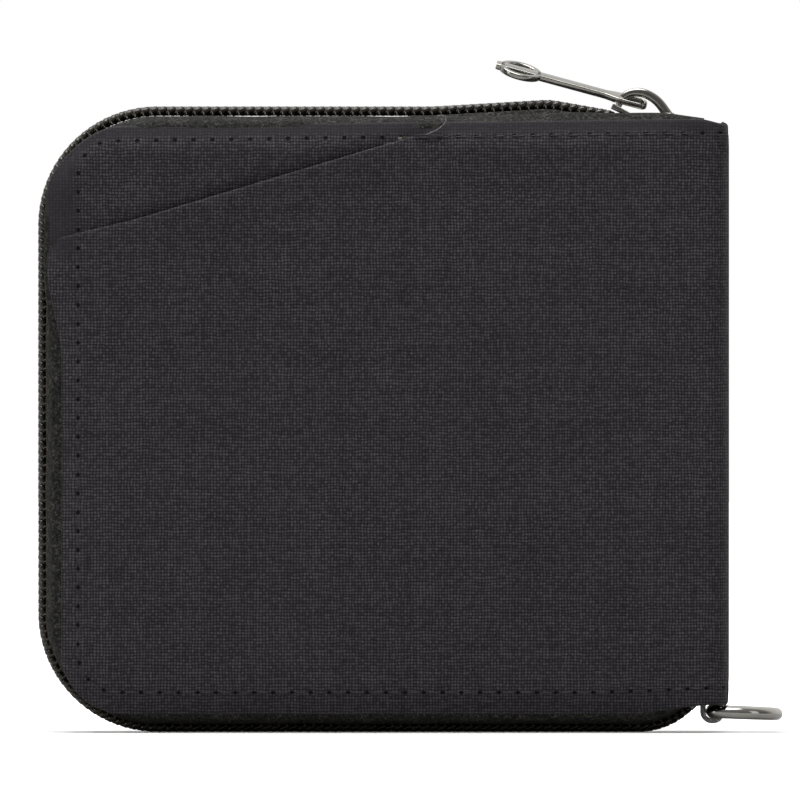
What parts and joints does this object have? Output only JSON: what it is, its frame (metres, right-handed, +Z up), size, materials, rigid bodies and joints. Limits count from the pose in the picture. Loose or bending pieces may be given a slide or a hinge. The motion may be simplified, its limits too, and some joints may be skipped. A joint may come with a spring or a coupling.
{
  "type": "zip-around wallet",
  "caption": "Bifold fabric wallet that zips shut round three sides, with a slanted slip pocket on the back, a ring-ended zip pull, and a D-ring on a webbing loop at the spine.",
  "frame": {"origin": "on the floor that the wallet stands on, under the middle of its overall box, ring included", "axes": "+X from the fore-edge towards the spine, +Y from the back cover to the front cover, +Z up along the spine"},
  "size_m": [0.1188, 0.022, 0.1078],
  "materials": {
    "outer_fabric": "black woven polyester, plain weave",
    "lining_fabric": "black taffeta lining",
    "binding_tape": "black ribbed binding tape",
    "webbing": "dark grey woven webbing",
    "zip_tape": "black herringbone zip tape",
    "zip_coil": "black nylon coil",
    "stiffener_board": "grey board",
    "window_vinyl": "clear vinyl film",
    "slider_metal": "dark nickel plated zinc",
    "stop_metal": "dark clip metal",
    "ring_metal": "nickel plated steel wire"
  },
  "bodies": {
    "back_cover": {"back_panel": "outer_fabric", "back_slip_pocket": "outer_fabric", "back_board": "stiffener_board", "back_lining": "lining_fabric", "back_seam_binding": "binding_tape", "back_note_pocket": "lining_fabric", "back_card_slot_1": "outer_fabric", "back_card_slot_2": "outer_fabric", "back_card_slot_3": "outer_fabric", "zip_tape_back": "zip_tape", "zip_chain_back": "zip_coil", "zip_top_stop_back": "stop_metal", "zip_bottom_stop": "stop_metal"},
    "spine": {"spine_panel": "outer_fabric", "spine_lining": "lining_fabric", "ring_loop": "webbing"},
    "front_cover": {"front_panel": "outer_fabric", "front_board": "stiffener_board", "front_lining": "lining_fabric", "front_seam_binding": "binding_tape", "front_note_pocket": "lining_fabric", "front_card_slot_1": "outer_fabric", "front_card_slot_2": "outer_fabric", "id_window": "window_vinyl", "id_window_frame": "outer_fabric", "zip_tape_front": "zip_tape", "zip_chain_front": "zip_coil", "zip_top_stop_front": "stop_metal"},
    "slider": {"slider_body": "slider_metal", "slider_bail": "slider_metal"},
    "pull": {"zip_pull": "slider_metal"},
    "ring": {"d_ring": "ring_metal"}
  },
  "joints": [
    {"name": "back_fold", "type": "hinge", "parent": "back_cover", "child": "spine", "pos_m": [0.04915, -0.0094, 0], "axis": [0, 0, -1], "range_deg": [0, 90]},
    {"name": "front_fold", "type": "hinge", "parent": "spine", "child": "front_cover", "pos_m": [0.04915, 0.0094, 0], "axis": [0, 0, -1], "range_deg": [0, 90]},
    {"name": "slider_slide", "type": "slide", "parent": "back_cover", "child": "slider", "axis": [-0.9996, 0, 0.0271], "range_m": [0, 0.07003], "deforming": ["zip_chain_back", "zip_chain_front"]},
    {"name": "pull_swing", "type": "hinge", "parent": "slider", "child": "pull", "pos_m": [0.03745, 0, 0.10008], "axis": [0, 1, 0], "range_deg": [0, 156]},
    {"name": "ring_swing", "type": "hinge", "parent": "spine", "child": "ring", "pos_m": [0.04815, 0, 0.0033], "axis": [0, 1, 0], "range_deg": [-3, 86]}
  ],
  "couplings": [
    {"joint": "front_fold", "follows": "back_fold", "ratio": 1}
  ]
}
